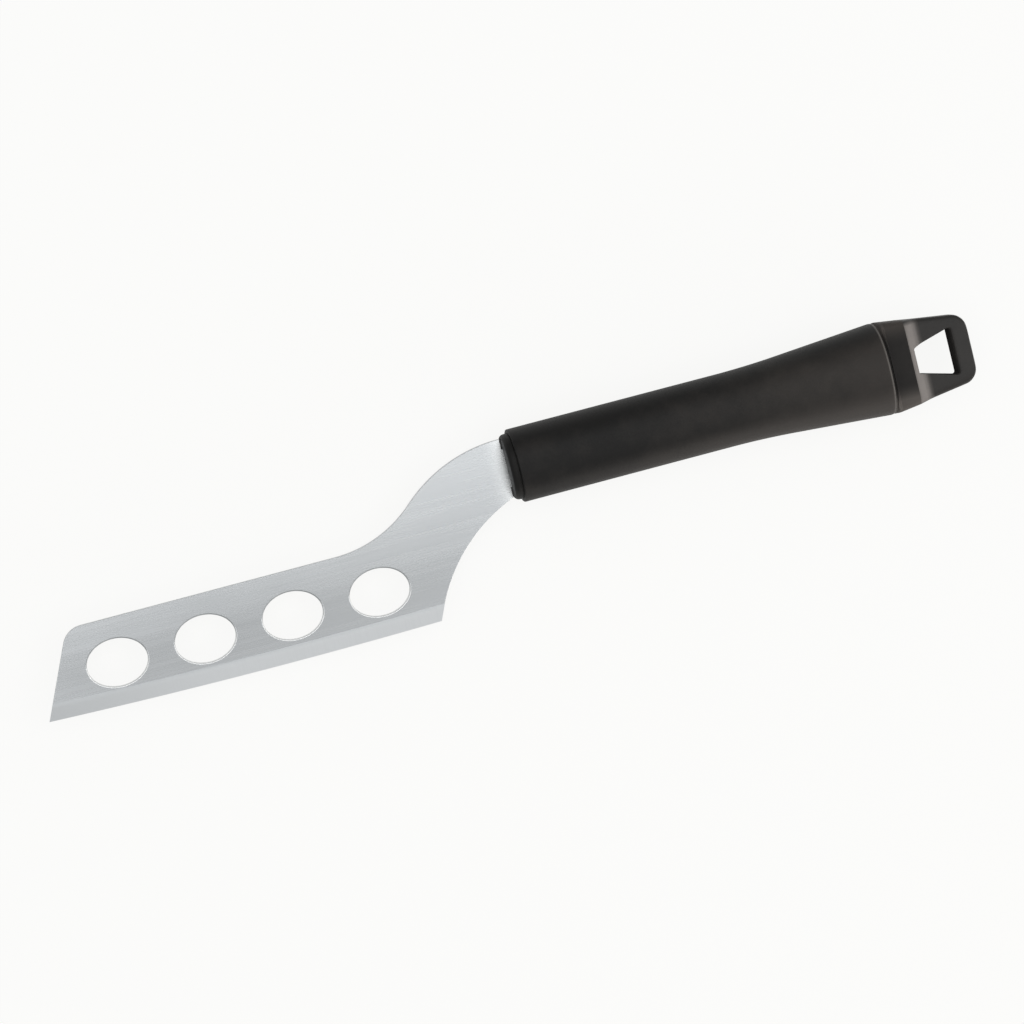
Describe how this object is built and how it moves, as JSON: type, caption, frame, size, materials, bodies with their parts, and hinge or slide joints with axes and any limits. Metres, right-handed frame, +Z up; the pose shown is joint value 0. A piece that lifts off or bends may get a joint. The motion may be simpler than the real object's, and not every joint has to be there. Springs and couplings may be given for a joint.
{
  "type": "pate knife",
  "caption": "Flat pate knife: offset steel blade with a row of oval holes and a slanted tip, pinned into a flared black grip whose end cap has a hanging loop.",
  "frame": {"origin": "under the middle of the knife's box, on the surface that the grip's widest part lies on", "axes": "+X from the blade's tip to the hanging loop along the handle's axis, +Y from the cutting edge to the spine, +Z up through the blade's face"},
  "size_m": [0.2996, 0.0546, 0.0254],
  "materials": {
    "satin_steel": "satin, lightly brushed along the blade",
    "pin_steel": "turned",
    "grip_black": "matt, very fine grain",
    "trim_black": "semi-matt, moulded",
    "core_grey": "as moulded"
  },
  "bodies": {
    "root": {"blade": "satin_steel", "front_collar": "grip_black", "grip_sleeve": "grip_black", "end_cap": "trim_black", "core_upper": "core_grey", "core_lower": "core_grey", "tang_pin_front": "pin_steel", "tang_pin_rear": "pin_steel"}
  },
  "joints": []
}
